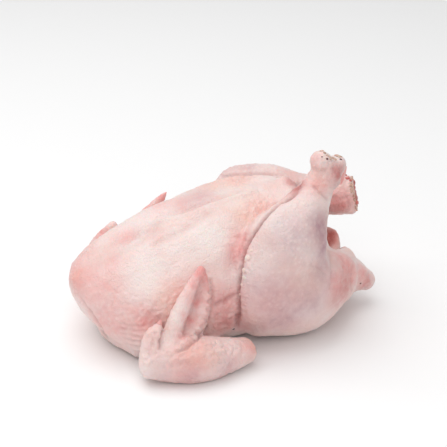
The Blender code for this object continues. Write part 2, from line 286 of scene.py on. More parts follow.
# Routes on the skin as the photograph shows them, in pixels across and down its frame
UPPER_CREASE = ((298, 190), (289, 198), (277, 205), (266, 216), (257, 228), (250, 239), (245, 249))
LOWER_CREASE = ((250, 239), (244, 252), (241, 265), (239, 280), (238, 296), (238, 312), (236, 329))
LEG_LIP = ((288, 204), (274, 215), (262, 231), (252, 251), (247, 270), (246, 292), (246, 312))
KEEL_RIDGE = ((130, 243), (144, 230), (161, 222), (184, 217), (208, 207), (233, 198), (258, 190))
KEEL_GROOVE = ((118, 242), (132, 236), (148, 229), (163, 214), (183, 207), (204, 200), (225, 193), (243, 187))
LOBE_GROOVE = ((150, 246), (166, 237), (184, 229), (201, 217), (218, 209))
FAR_EDGE = ((214, 181), (236, 178), (262, 177), (286, 178))
FAR_VALLEY = ((216, 177), (236, 175), (262, 174), (284, 176))
BREAST_TIP = ((298, 181), (299, 186), (297, 191))
FLANK_FOLD = ((212, 305), (223, 301), (236, 293))
FLANK_LINES = (
    ((212, 315), (224, 313), (236, 312)),
    ((213, 320), (224, 319), (236, 319)),
    ((216, 325), (226, 324), (235, 325)),
)
KNEE_FOLD = ((298, 266), (310, 264), (319, 268), (327, 276))
THIGH_FOLD = ((329, 250), (331, 262), (332, 276), (330, 290))
SHOULDER_FOLDS = (
    ((118, 322), (131, 325), (146, 325)),
    ((118, 327), (130, 330), (144, 331)),
    ((119, 332), (130, 335), (142, 337)),
    ((121, 337), (131, 340), (141, 342)),
    ((124, 343), (132, 345), (140, 347)),
)
NECK_FLAP = ((80, 297), (87, 308), (96, 320), (102, 330), (110, 342), (122, 351))
WEB_RIM = ((205, 277), (206, 290), (206, 302), (203, 314), (197, 326), (190, 336), (181, 344))
WEB_EDGE = ((208, 275), (209, 288), (208, 302), (205, 315), (199, 327), (191, 338))
WEB_SHADOW = ((210, 277), (212, 289), (212, 302), (209, 315), (204, 326))
HAND_VALLEY = ((203, 276), (199, 290), (195, 304), (189, 319), (182, 334))
WEB_FOOT = ((207, 325), (200, 335), (191, 343), (182, 349), (174, 352))
THUMB_GROOVE = ((163, 322), (162, 332), (160, 342), (159, 350))
THUMB_FOLDS = (
    ((156, 329), (153, 338), (152, 347)),
    ((150, 333), (147, 342), (145, 352)),
)
FOREARM_FOLDS = (
    ((152, 368), (168, 364), (186, 363), (201, 365)),
    ((206, 350), (216, 346), (228, 345)),
    ((240, 341), (243, 348), (241, 358)),
)
HEEL_EDGE = ((312, 184), (318, 190), (324, 196), (328, 199))
SHANK_FOLDS = (
    ((314, 167), (320, 170), (327, 170)),
    ((333, 166), (336, 173), (335, 182)),
)
CUT_CREASE = ((346, 178), (344, 187), (346, 197), (349, 206))
RUMP_FOLD = ((353, 262), (352, 272), (351, 282), (352, 291))
RUMP_LINES = (
    ((337, 254), (336, 266), (336, 280)),
    ((343, 256), (343, 268), (342, 282)),
    ((348, 256), (348, 268), (347, 284)),
)
VENT_RIM = ((329, 249), (335, 247), (342, 246), (348, 248))

# Folds and ridges of the skin: routes, reach across them and height (a groove is a minus), in metres,
# whether the hidden left side has the same, and the share of dark red painted shade in a groove, 0 to 1
FOLDS = (
    ((UPPER_CREASE,), 0.0019, -0.0034, False, 0.6),
    ((LOWER_CREASE,), 0.0018, -0.0034, False, 0.6),
    ((LEG_LIP,), 0.0070, 0.0013, False, 0.0),
    ((KEEL_RIDGE,), 0.0045, 0.0030, False, 0.0),
    ((KEEL_GROOVE,), 0.0056, -0.0040, False, 0.10),
    ((LOBE_GROOVE,), 0.0042, -0.0022, False, 0.15),
    ((FAR_EDGE,), 0.0030, 0.0016, False, 0.0),
    ((FAR_VALLEY,), 0.0020, -0.0024, False, 0.20),
    ((BREAST_TIP,), 0.0020, -0.0020, False, 1.0),
    ((FLANK_FOLD,), 0.0022, -0.0018, True, 0.5),
    (FLANK_LINES, 0.0014, -0.0008, True, 0.5),
    ((KNEE_FOLD,), 0.0016, -0.0007, False, 0.3),
    ((THIGH_FOLD,), 0.0026, -0.0014, False, 0.3),
    (SHOULDER_FOLDS, 0.0013, -0.0010, True, 0.5),
    ((NECK_FLAP,), 0.0017, -0.0016, True, 0.5),
    ((WEB_SHADOW,), 0.0014, -0.0018, False, 0.2),
    ((HAND_VALLEY,), 0.0038, -0.0013, False, 0.8),
    ((WEB_RIM,), 0.0022, 0.0015, False, 0.0),
    ((WEB_FOOT,), 0.0015, -0.0024, False, 0.5),
    ((THUMB_GROOVE,), 0.0014, -0.0020, False, 0.8),
    (THUMB_FOLDS, 0.0012, -0.0006, False, 0.2),
    (FOREARM_FOLDS, 0.0022, -0.0009, True, 0.1),
    ((HEEL_EDGE,), 0.0014, -0.0012, False, 0.6),
    (SHANK_FOLDS, 0.0018, -0.0007, False, 0.3),
    ((CUT_CREASE,), 0.0016, -0.0010, False, 0.3),
    ((RUMP_FOLD,), 0.0022, -0.0012, False, 0.4),
    (RUMP_LINES, 0.0016, -0.0005, False, 0.4),
    ((VENT_RIM,), 0.0016, 0.0010, False, 0.0),
)
LEFT_LEG_CREASE = (
    (0.004, 0.060, 0.020), (0.000, 0.064, 0.048), (0.004, 0.063, 0.070), (0.010, 0.058, 0.088),
)
LEFT_CREASE_SIZE = (0.0024, -0.0034, 1.0)  # reach, height and share of painted shade
CREASE_MELT = 0.009  # how far from the leg's crease the skin is drawn smooth
FOLD_GRIP = 2.5  # how steeply a fold fades where the skin turns away from it
FOLD_TAPER = 7  # how steeply it fades towards both its ends
FULL_GROOVE_SHADE = 3 * MM  # depth at which a groove has its full painted shade
WEB_RUFFLES = (0.0028, 0.0010, 9)  # reach, height and number of the web's ruffles

# The skin's fine relief. Each kind's shares say how much of it shows everywhere, and how much its
# own patches add: pimply, blush and crinkled ones
PIMPLE_SPACING = 0.0036
PIMPLE_HEIGHT = 0.00060
PIMPLE_SHARES = (0.35, 0.90)
PIMPLE_RADIUS = 0.36  # as a share of the spacing
WRINKLE_SIZE = (24 * MM, 3.2 * MM, 3.2 * MM)  # long from neck to tail, narrow across
WRINKLE_HEIGHT = 0.00085
WRINKLE_SHARES = (0.25, 0.75)
CRINKLE_SIZE = 0.0030
CRINKLE_HEIGHT = 0.00120
CRINKLE_SHARES = (0.25, 1.00)
DIMPLE_SIZE = 0.011
DIMPLE_HEIGHT = 0.00050
FAT_SMOOTHNESS = 0.6  # how much of the relief the fat below the skin fills out

# Patches of each tone, and of pimply and crinkled skin: pixel of the middle, reach in millimetres,
# strength, and whether the hidden left side has the same
PATCHES = {
    "blush": (
        ((78, 280), 14, 0.6, True), ((100, 292), 18, 0.55, True), ((112, 325), 20, 0.6, True),
        ((145, 318), 12, 0.8, True), ((176, 290), 14, 0.4, True), ((222, 300), 14, 0.8, True),
        ((225, 320), 12, 0.8, True), ((238, 252), 10, 0.9, True), ((243, 238), 8, 0.7, True),
        ((262, 208), 14, 0.35, True), ((296, 187), 8, 1.0, False), ((292, 181), 8, 0.8, False),
        ((200, 352), 20, 0.4, True), ((250, 346), 8, 0.6, True), ((202, 272), 8, 1.3, True),
        ((207, 288), 7, 0.6, True), ((206, 303), 7, 0.45, False), ((196, 302), 5, 0.9, False),
        ((189, 298), 6, 0.5, False), ((194, 286), 6, 0.7, False), ((184, 316), 4, 0.6, False),
        ((189, 320), 5, 0.9, False), ((201, 318), 6, 0.5, False), ((183, 338), 7, 0.6, False),
        ((148, 345), 12, 0.15, True),
        ((345, 262), 15, 0.8, True), ((338, 285), 14, 0.85, True), ((352, 276), 10, 0.7, True),
        ((365, 282), 8, 0.9, False), ((361, 272), 8, 0.8, True), ((314, 158), 6, 0.4, False),
        ((338, 172), 7, 1.0, False),
        ((320, 184), 9, 0.6, False), ((340, 202), 12, 0.9, False), ((332, 205), 8, 0.8, False),
        ((243, 326), 9, 0.5, True), ((160, 205), 10, 0.4, False), ((180, 203), 9, 0.4, False),
        ((200, 195), 9, 0.25, False), ((125, 236), 9, 0.6, False), ((290, 172), 12, 0.3, False),
        ((162, 196), 7, 1.0, False), ((100, 232), 8, 0.8, False), ((334, 238), 7, 1.0, False),
        ((185, 372), 14, 0.3, True), ((235, 362), 10, 0.35, True), ((110, 262), 10, 0.35, False),
        ((202, 276), 7, 0.9, False), ((345, 288), 11, 0.8, True), ((270, 300), 20, 0.35, True),
    ),
    # Mauve of dark meat under thin skin on the legs, and painted shade on the forearm's underside, the
    # drumstick's back edge, the thigh's underside, the keel's trough and the far lobe
    "lilac_and_shade": (
        ((292, 236), 20, 0.5, True), ((320, 226), 11, 1.0, False), ((268, 292), 20, 0.5, True),
        ((282, 318), 18, 0.7, True), ((310, 300), 16, 0.6, True), ((250, 168), 10, 0.3, False),
        ((324, 248), 11, 1.0, False), ((196, 197), 14, 0.35, False), ((322, 270), 12, 0.5, False),
        ((190, 378), 11, 0.5, True), ((226, 368), 10, 0.45, True), ((160, 376), 9, 0.3, True),
    ),
    # Pale fat under the skin and white gristle at the hock, and painted highlights: the near lobe's bright
    # band, the keel's ridge, the drumstick's wet shine, the far edge and the wing finger's ridge
    "fat": (
        ((200, 240), 22, 0.7, True), ((236, 200), 12, 0.7, True), ((150, 278), 18, 0.6, True),
        ((268, 256), 9, 0.6, False), ((172, 219), 9, 0.5, True), ((250, 182), 10, 0.6, False),
        ((176, 318), 5, 0.6, False), ((168, 338), 5, 0.6, False), ((191, 292), 4, 0.5, False),
        ((276, 225), 10, 0.5, False), ((325, 152), 5, 0.6, False), ((337, 157), 4, 0.7, False),
    ),
    "apricot": (
        ((256, 207), 18, 0.5, True), ((240, 214), 10, 0.4, True), ((253, 344), 7, 0.9, True),
        ((75, 275), 7, 0.8, False), ((165, 300), 12, 0.5, True), ((206, 345), 8, 0.4, True),
        ((310, 285), 12, 0.4, True), ((318, 180), 7, 0.4, False), ((190, 345), 8, 0.5, False),
        ((334, 238), 7, 0.9, False), ((178, 290), 10, 0.4, True),
        ((195, 359), 9, 0.6, True), ((214, 357), 9, 0.5, True),
    ),
    # Painted shade in deep red-brown, on hollows and sides turned from the light: hock, breast tip, beside the
    # legs, rump, tail, flank and shoulder
    "ruddy_shade": (
        ((339, 172), 7, 1.0, False), ((336, 186), 7, 0.6, False), ((235, 258), 8, 0.5, True),
        ((244, 240), 6, 0.4, True), ((296, 187), 8, 1.0, False), ((292, 183), 6, 0.5, False),
        ((222, 304), 11, 0.15, True), ((226, 324), 8, 0.35, True), ((345, 286), 12, 0.45, True),
        ((335, 300), 10, 0.3, True), ((366, 283), 8, 0.45, True), ((332, 210), 8, 0.25, False),
        ((322, 238), 9, 0.45, False), ((152, 316), 7, 0.3, True), ((132, 343), 9, 0.1, True),
        ((262, 326), 10, 0.3, True), ((322, 224), 9, 0.5, False),
    ),
    "pimply": (
        ((206, 292), 7, 0.5, False), ((203, 312), 7, 0.5, False), ((190, 342), 10, 0.4, False),
        ((222, 344), 14, 0.3, True), ((112, 312), 18, 0.6, True), ((145, 316), 14, 0.5, True),
        ((256, 206), 16, 0.8, True), ((226, 308), 12, 0.7, True), ((292, 226), 22, 0.8, True),
        ((300, 256), 14, 0.8, False), ((262, 168), 18, 0.7, False),
        ((170, 300), 12, 0.6, True), ((276, 300), 18, 0.4, True), ((268, 255), 9, 0.7, False),
    ),
    "crinkled": (
        ((205, 292), 9, 1.0, False), ((200, 318), 9, 1.0, False), ((190, 342), 12, 1.0, True),
        ((222, 346), 16, 0.9, True), ((176, 368), 18, 0.8, True), ((150, 350), 14, 0.9, True),
        ((228, 366), 14, 0.7, True), ((118, 322), 20, 0.7, True), ((150, 312), 14, 0.8, True),
        ((230, 312), 12, 0.8, True), ((320, 172), 14, 0.6, False), ((344, 196), 12, 0.7, False),
        ((246, 262), 8, 1.0, True), ((345, 280), 16, 0.5, True), ((258, 206), 14, 0.6, True),
        ((366, 282), 8, 0.8, True), ((310, 264), 12, 0.5, False),
    ),
}
# The skin's ground, clouded between two pale tones, and the tips of its pimples
PALE_SKIN = "#F3DFDB"
FLUSHED_SKIN = "#EFCFC9"
PIMPLE_TIP = "#F6E2DE"
# Tones of the skin, painted shade and highlights among them, in drawing order: mask, colour and strength
TONES = (
    # pale fat, and painted highlights
    ("fat", "#F8EFEA", 0.80),
    ("apricot", "#EAB79E", 0.60),
    ("blush", "#EC9692", 0.78),
    # painted shade, deep red-brown
    ("ruddy_shade", "#B4706C", 0.70),
    # mauve of dark meat, and painted shade on sides turned from the light
    ("lilac_and_shade", "#B68994", 0.78),
    # painted shade in the grooves, dark red
    ("crease", "#8E3E3E", 0.85),
    ("raw", "#B8564C", 0.90),
)

# The sizes of the skin's clouds, mottling and grain, with the noise's detail. Real grain is finer;
# this is as fine as shows at the photograph's scale
SKIN_PATTERNS = ((30 * MM, 2), (6 * MM, 4), (1.4 * MM, 3))

# Small pieces on the skin: pixel, then length along, width across and height in millimetres
GRISTLE = (
    ((321, 150.5), 1.6, 0.9, 0.7), ((324, 152.5), 1.5, 0.8, 0.7), ((327, 155), 1.4, 0.9, 0.7),
    ((330, 157.5), 2.2, 1.4, 0.8), ((333, 158), 2.4, 1.8, 0.9), ((337.5, 155.5), 3.0, 2.0, 0.8),
    ((350, 184), 0.9, 2.6, 1.0), ((350.4, 190), 0.8, 2.6, 0.9), ((353, 178), 1.6, 1.6, 1.4),
    ((356, 182), 1.6, 2.0, 1.4), ((358, 187), 1.3, 1.9, 1.4),
)
FAT_BEADS = (
    ((247, 257), 2.4, 2.0, 0.5), ((243, 270), 2.2, 1.7, 0.5), ((243.5, 277), 2.0, 1.2, 0.4),
    ((241, 284.5), 1.5, 1.3, 0.5), ((239.5, 294), 1.0, 1.1, 0.4), ((251, 250), 1.2, 1.0, 0.4),
)
BLOOD_SPOTS = (
    ((321.5, 156.4), 0.6, 0.5, 0.3), ((326.8, 158.4), 1.0, 0.8, 0.4), ((340.3, 158.8), 1.2, 0.8, 0.4),
    ((352.8, 189.5), 0.8, 1.7, 0.4), ((360, 283), 0.7, 0.6, 0.3),
    # The spot at the gap between forearm and body is a dark maroon lump, painted shade of that gap
    ((163.5, 194.6), 0.7, 0.6, 0.4), ((233.3, 328.6), 1.3, 0.6, 0.3),
)
BARE_MEAT = (
    ((344, 175.5), 2.2, 1.4, 1.2), ((347, 177.5), 2.0, 1.4, 1.2), ((350, 180), 1.5, 1.1, 1.0),
    ((357, 194), 1.8, 1.6, 1.2), ((356.5, 202), 1.8, 1.8, 1.2), ((354, 187), 1.2, 1.4, 1.0),
)
# The ragged rim round the sawn shank: its middle, radii across and up, number of shreds, their size
CUT_RIM = ((0.1324, 0.0250, 0.0830), 0.0130, 0.0148, 22, 0.0013)
# Its shreds, as shares of that size; length and thickness have a middle value and its unevenness
SHRED_LENGTH = (1.4, 2.4)
SHRED_WIDTH = 0.7
SHRED_THICKNESS = (0.8, 1.2)
SHRED_STAND = 0.4
SHRED_SEED = (1.7, 0.3, 0.8)  # a step through the noise for each shred, and where it starts
RIM_BARE = -0.25  # unevenness below which the rim has no shred
LUMP_GRAIN = 1.3 * MM
LUMP_UNEVENNESS = 0.35

# Loose ends of skin and the wing tips' points: stations as for a limb
SKIN_POINTS = (
    (((0.0905, -0.036, 0.1215), 0.0022, 0.0012), ((0.0935, -0.036, 0.1290), 0.0019, 0.0010),
     ((0.0952, -0.036, 0.1345), 0.0008, 0.0005)),
    (((-0.0708, -0.0735, 0.0455), 0.0020, 0.0018), ((-0.0703, -0.0735, 0.0472), 0.0012, 0.0011),
     ((-0.0703, -0.0735, 0.0484), 0.0004, 0.0004)),
    (((-0.0238, 0.060, 0.0893), 0.0026, 0.0024), ((-0.0220, 0.060, 0.0912), 0.0016, 0.0015),
     ((-0.0208, 0.060, 0.0926), 0.0006, 0.0006)),
)

POINT_BLUSH = 0.8

# The table and the light; each soft box has its place, its aim, its width and its power in watts
FLOOR_SIZE = 8.0
TENT_GLOW = 0.50
SOFT_BOXES = (
    ("overhead_box", (-0.35, 0.25, 1.50), (0, 0, 0.05), 1.8, 17),
    ("front_fill", (-0.5, -1.3, 1.1), (0, 0, 0.06), 1.0, 5.5),
)


def linear(code):
    """Linear red, green and blue of an sRGB hex colour."""
    parts = [int(code[i : i + 2], 16) / 255 for i in (1, 3, 5)]
    return [v / 12.92 if v <= 0.04045 else ((v + 0.055) / 1.055) ** 2.4 for v in parts]


def add(tree, kind, sockets=None, **settings):
    """Adds a node; sockets gives each input a value, or another node's output to link."""
    node = tree.nodes.new("ShaderNode" + kind)
    for name, value in settings.items():
        setattr(node, name, value)
    for socket, value in (sockets or {}).items():
        if isinstance(value, bpy.types.NodeSocket):
            tree.links.new(value, node.inputs[socket])
        else:
            node.inputs[socket].default_value = value
    return node


def smooth_between(keys, values, at):
    """A smooth curve through the values at the keys, read at the given places."""
    keys = np.asarray(keys, float)
    values = np.asarray(values, float).reshape(len(keys), -1)
    at = np.asarray(at, float)
    slopes = np.gradient(values, keys, axis=0)
    low = np.clip(np.searchsorted(keys, at, side="right") - 1, 0, len(keys) - 2)
    span = (keys[low + 1] - keys[low])[:, None]
    t = (at - keys[low])[:, None] / span
    return (
        (2 * t**3 - 3 * t**2 + 1) * values[low]
        + (t**3 - 2 * t**2 + t) * span * slopes[low]
        + (3 * t**2 - 2 * t**3) * values[low + 1]
        + (t**3 - t**2) * span * slopes[low + 1]
    )


def loft(name, rings, collection):
    """A closed mesh object through rings of equal point count, each end fanned to its middle."""
    count = len(rings[0])
    points = [tuple(p) for ring in rings for p in ring]
    faces = []
    for r in range(len(rings) - 1):
        for i in range(count):
            a = r * count + i
            b = r * count + (i + 1) % count
            faces.append((a, b, b + count, a + count))
    for r, turned in ((0, True), (len(rings) - 1, False)):
        middle = len(points)
        points.append(tuple(np.mean(rings[r], axis=0)))
        for i in range(count):
            a, b = r * count + i, r * count + (i + 1) % count
            faces.append((b, a, middle) if turned else (a, b, middle))
    mesh = bpy.data.meshes.new(name)
    mesh.from_pydata(points, [], faces)
    obj = bpy.data.objects.new(name, mesh)
    collection.objects.link(obj)
    return obj


def signed_power(value, exponent):
    """The power of the value's size, with the value's own sign."""
    return np.sign(value) * np.abs(value) ** exponent


def torso(collection):
    """The trunk: breast lobes beside the keel above, a flatter back below, blunt at the neck end."""
    table = np.array(TORSO)
    shares = (1 - np.cos(np.linspace(0, math.pi, RINGS_OF_TORSO))) / 2
    rows = smooth_between(table[:, 0], table[:, 1:], shares)
    angles = np.linspace(0, 2 * math.pi, RING_POINTS * 2, endpoint=False)
    rings = []
    for share, (half, under, top, keel, lobe) in zip(shares, rows):
        x = NECK_END_X + share * BODY_LENGTH
        half = half * BREAST_WIDTH / 2
        under, top = under * BREAST_HEIGHT, top * BREAST_HEIGHT
        widest = under + WIDEST_SHARE * (top - under)
        above = np.sin(angles) > 0
        power = np.where(above, 2 / TOP_EXPONENT, 2 / BACK_EXPONENT)
        reach = np.where(above, top - widest, widest - under)
        y = half * signed_power(np.cos(angles), power)
        z = widest + reach * signed_power(np.sin(angles), power)
        breast = np.clip(np.sin(angles), 0, 1)
        z += breast * lobe * np.exp(-(((np.abs(y) - LOBE_OFFSET) / LOBE_SPREAD) ** 2))
        z += breast * keel * np.exp(-((y / KEEL_SPREAD) ** 2))
        rings.append(np.column_stack([np.full_like(y, x), y, z]))
    return loft("torso", rings, collection)


def limb(name, stations, broadside, collection, blunt=1.0):
    """A limb through its stations, with round ends.

    Broadside is the direction that its half width lies in, and blunt is the reach of its ends as a
    share of the thinner half.
    """
    path = np.array([middle for middle, _, _ in stations], float)
    sizes = np.array([size for _, *size in stations], float)
    steps = np.linalg.norm(np.diff(path, axis=0), axis=1)
    keys = np.concatenate([[0], np.cumsum(steps)])
    places = np.linspace(0, keys[-1], RINGS_PER_LIMB)
    middles = smooth_between(keys, path, places)
    sizes = smooth_between(keys, sizes, places)
    tangents = np.gradient(middles, axis=0)
    tangents /= np.linalg.norm(tangents, axis=1)[:, None]
    caps = np.linspace(0, math.pi / 2, CAP_RINGS + 1)[1:-1]
    rounds = [(0, -a) for a in caps[::-1]]
    rounds += [(i, 0.0) for i in range(RINGS_PER_LIMB)]
    rounds += [(-1, a) for a in caps]
    angles = np.linspace(0, 2 * math.pi, RING_POINTS, endpoint=False)
    rings = []
    for i, cap in rounds:
        tangent, (wide, thick) = tangents[i], sizes[i] * math.cos(cap)
        across = np.array(broadside, float)
        across -= tangent * (across @ tangent)
        across /= np.linalg.norm(across)
        through = np.cross(tangent, across)
        centre = middles[i] + tangent * math.sin(cap) * sizes[i].min() * blunt
        rings.append(
            centre
            + wide * np.cos(angles)[:, None] * across
            + thick * np.sin(angles)[:, None] * through
        )
    return loft(name, rings, collection)


def on_side(stations, side):
    """The stations on that side of the bird; side is -1 on its right and 1 on its left."""
    return [((x, side * abs(y), z), *sizes) for (x, y, z), *sizes in stations]


def knobs(name, condyles, collection):
    """The rounded bone ends at a hock."""
    for i, (middle, radius) in enumerate(condyles):
        mesh = bpy.data.meshes.new(name)
        knob = bmesh.new()
        around, rows = KNOB_SEGMENTS
        bmesh.ops.create_uvsphere(knob, u_segments=around, v_segments=rows, radius=radius)
        bmesh.ops.translate(knob, vec=middle, verts=knob.verts)
        knob.to_mesh(mesh)
        knob.free()
        collection.objects.link(bpy.data.objects.new(f"{name}_{i}", mesh))


def legs(collection):
    """Both legs: thigh, knee, drumstick and hock, and the rump that they join."""
    limb("thigh_right", RIGHT_THIGH, (0, -THIGH_LEAN, 1), collection)
    limb("thigh_left", LEFT_THIGH, (0, THIGH_LEAN, 1), collection)
    limb("knee_right", RIGHT_KNEE, LENGTHWISE, collection)
    limb("knee_left", LEFT_KNEE, LENGTHWISE, collection)
    limb("drumstick_right", RIGHT_DRUMSTICK, SHANK_BROADSIDE, collection)
    limb("drumstick_left", LEFT_DRUMSTICK, UPRIGHT, collection)
    knobs("hock_right", RIGHT_CONDYLES, collection)
    knobs("hock_left", LEFT_CONDYLES, collection)
    limb("rump_right", RIGHT_RUMP, UPRIGHT, collection)
    limb("rump_left", LEFT_RUMP, UPRIGHT, collection)


def wings(collection):
    """Both wings: arms alike on both sides, then each hand folded in its own way."""
    for side, sign in (("right", -1), ("left", 1)):
        limb(f"upper_arm_{side}", on_side(UPPER_ARM, sign), UPRIGHT, collection)
        limb(f"forearm_{side}", on_side(FOREARM, sign), UPRIGHT, collection, blunt=FOREARM_BLUNT)
    for side, finger, web, thumb in (
        ("right", RIGHT_FINGER, RIGHT_WEB, RIGHT_THUMB),
        ("left", LEFT_FINGER, LEFT_WEB, LEFT_THUMB),
    ):
        limb(f"finger_{side}", finger, LENGTHWISE, collection)
        limb(f"web_{side}", web, LENGTHWISE, collection)
        limb(f"thumb_{side}", thumb, LENGTHWISE, collection)


def tail_lobe_and_neck_skin(collection):
    """The tail, the fuller left lobe of the breast, and the skin tucked under the front."""
    limb("tail", TAIL, SIDEWAYS, collection)
    limb("left_lobe", LEFT_LOBE, SIDEWAYS, collection)
    limb("neck_skin", NECK_SKIN, LENGTHWISE, collection)


def evaluated_mesh(obj, name):
    """A mesh of the object as its modifiers leave it."""
    bpy.context.view_layer.update()
    graph = bpy.context.evaluated_depsgraph_get()
    mesh = bpy.data.meshes.new_from_object(obj.evaluated_get(graph))
    mesh.name = name
    return mesh


def fused(masses, cutter, name):
    """One mesh of all the masses less the cutter, with the masses and the cutter removed."""
    first, *rest = list(masses.objects)
    others = bpy.data.collections.new("other_masses")
    for obj in rest:
        masses.objects.unlink(obj)
        others.objects.link(obj)
    bpy.context.scene.collection.children.link(others)
    join = first.modifiers.new("join", "BOOLEAN")
    join.operation = "UNION"
    join.operand_type = "COLLECTION"
    join.collection = others
    join.solver = "MANIFOLD"
    hollow = first.modifiers.new("hollow", "BOOLEAN")
    hollow.operation = "DIFFERENCE"
    hollow.object = cutter
    hollow.solver = "MANIFOLD"
    skin = first.modifiers.new("skin", "REMESH")
    skin.mode = "VOXEL"
    skin.voxel_size = SKIN_VOXEL
    skin.use_smooth_shade = True
    mesh = evaluated_mesh(first, name)
    for obj in [first, *rest, cutter]:
        bpy.data.objects.remove(obj)
    for collection in (masses, others):
        bpy.data.collections.remove(collection)
    return mesh


def places_of(mesh):
    """The places of the mesh's points, one row each."""
    points = np.empty(len(mesh.vertices) * 3, np.float32)
    mesh.vertices.foreach_get("co", points)
    return points.reshape(-1, 3).astype(float)


def normals_of(mesh):
    """The way that the skin faces at each point, one row each."""
    normals = np.empty(len(mesh.vertices) * 3, np.float32)
    mesh.vertex_normals.foreach_get("vector", normals)
    return normals.reshape(-1, 3).astype(float)


def move_to(mesh, points):
    """Puts the mesh's points at these places."""
    mesh.vertices.foreach_set("co", points.astype(np.float32).ravel())
    mesh.update()


def smooth_route(route, steps=8):
    """More points along a route, on a smooth curve through its own points."""
    keys = np.arange(len(route), dtype=float)
    return smooth_between(keys, route, np.linspace(0, keys[-1], (len(route) - 1) * steps + 1))


def near_route(points, route):
    """For each point: distance to the route, how far along it, 0 to 1, and its nearest bend."""
    steps = np.diff(route, axis=0)
    lengths = np.maximum(np.linalg.norm(steps, axis=1), 1e-9)
    starts = np.concatenate([[0], np.cumsum(lengths)])
    best = np.full(len(points), np.inf)
    along = np.zeros(len(points))
    nearest = np.zeros(len(points), int)
    for i, (a, step, length, start) in enumerate(zip(route, steps, lengths, starts)):
        t = np.clip((points - a) @ step / length**2, 0, 1)
        away = np.linalg.norm(points - (a + t[:, None] * step), axis=1)
        closer = away < best
        best[closer] = away[closer]
        along[closer] = (start + t[closer] * length) / starts[-1]
        nearest[closer] = i
    return best, along, nearest


def surface_of(mesh):
    """A tree that finds places on the mesh."""
    corners = np.empty(len(mesh.loops), np.int32)
    mesh.loops.foreach_get("vertex_index", corners)
    totals = np.empty(len(mesh.polygons), np.int32)
    mesh.polygons.foreach_get("loop_total", totals)
    faces = [part.tolist() for part in np.split(corners, np.cumsum(totals)[:-1])]
    return BVHTree.FromPolygons([tuple(p) for p in places_of(mesh)], faces)


def view_directions():
    """The directions away from the bird to the eye, to the right and up, in the photograph's view."""
    away = Vector(
        (
            math.sin(CAMERA_AZIMUTH) * math.cos(CAMERA_HEIGHT),
            -math.cos(CAMERA_AZIMUTH) * math.cos(CAMERA_HEIGHT),
            math.sin(CAMERA_HEIGHT),
        )
    )
    right = Vector((0, 0, 1)).cross(away).normalized()
    return away, right, away.cross(right)


def seen(surface, pixel):
    """The place on the surface that the photograph shows at that pixel, and the way it faces."""
    away, right, up = view_directions()
    across, down = (((p + 0.5) / PHOTO_SIZE - 0.5) * SEEN_WIDTH for p in pixel)
    ray = right * across - up * down - away * CAMERA_DISTANCE
    place, facing, *_ = surface.ray_cast(AIM + away * CAMERA_DISTANCE, ray.normalized())
    return place, facing


def sides_of(surface, pixels, both):
    """The places seen at the pixels, with their facings, and those on the left side if both."""
    found = [seen(surface, pixel) for pixel in pixels]
    found = [pair for pair in found if pair[0] is not None]
    if not found:
        return
    yield np.array([place for place, _ in found]), np.array([facing for _, facing in found])
    if both:
        mirrored = [surface.find_nearest((place.x, -place.y, place.z))[:2] for place, _ in found]
        yield np.array([p for p, _ in mirrored]), np.array([f for _, f in mirrored])


def relax(obj):
    """Draws the skin smooth, most of all over the joints and beside the legs' creases."""
    points = places_of(obj.data)
    surface = surface_of(obj.data)
    creases = [route for route, _ in sides_of(surface, smooth_route(LOWER_CREASE), False)]
    creases.append(np.array([surface.find_nearest(p)[0] for p in smooth_route(LEFT_LEG_CREASE)]))
    reaches = [np.linalg.norm(points - place, axis=1) / reach for place, reach in SOFT_PLACES]
    reaches += [near_route(points, route)[0] / CREASE_MELT for route in creases]
    weights = np.exp(-np.min(reaches, axis=0) ** 2)
    group = obj.vertex_groups.new(name="soft places")
    for i in np.nonzero(weights > SOFT_LEAST)[0]:
        group.add([int(i)], float(weights[i]), "REPLACE")
    melt = obj.modifiers.new("melt", "SMOOTH")
    melt.vertex_group = group.name
    melt.iterations = SOFT_SMOOTHING
    tension = obj.modifiers.new("tension", "SMOOTH")
    tension.iterations = SKIN_SMOOTHING
    obj.data = evaluated_mesh(obj, obj.name)
    obj.modifiers.clear()
    obj.vertex_groups.clear()


def saw_left_shank(mesh):
    """Flattens the left hock to its cut face; returns how much of each point is in the cut."""
    points = places_of(mesh)
    place, facing, reach = (np.array(v) for v in LEFT_CUT)
    facing = facing / np.linalg.norm(facing)
    beyond = (points - place) @ facing
    near = np.linalg.norm(points - place, axis=1) < reach
    uneven = np.array([noise.noise(Vector(p) / CUT_GRAIN) for p in points[near]])
    into = np.clip(beyond[near] + CUT_SWELL, 0, None)
    points[near] -= facing * (into - CUT_SWELL * np.tanh(into / CUT_SWELL))[:, None]
    cut = np.zeros(len(points))
    cut[near] = np.clip(beyond[near] / CUT_EDGE, 0, 1)
    points[near] += facing * (cut[near] * uneven * CUT_RELIEF)[:, None]
    move_to(mesh, points)
    return cut


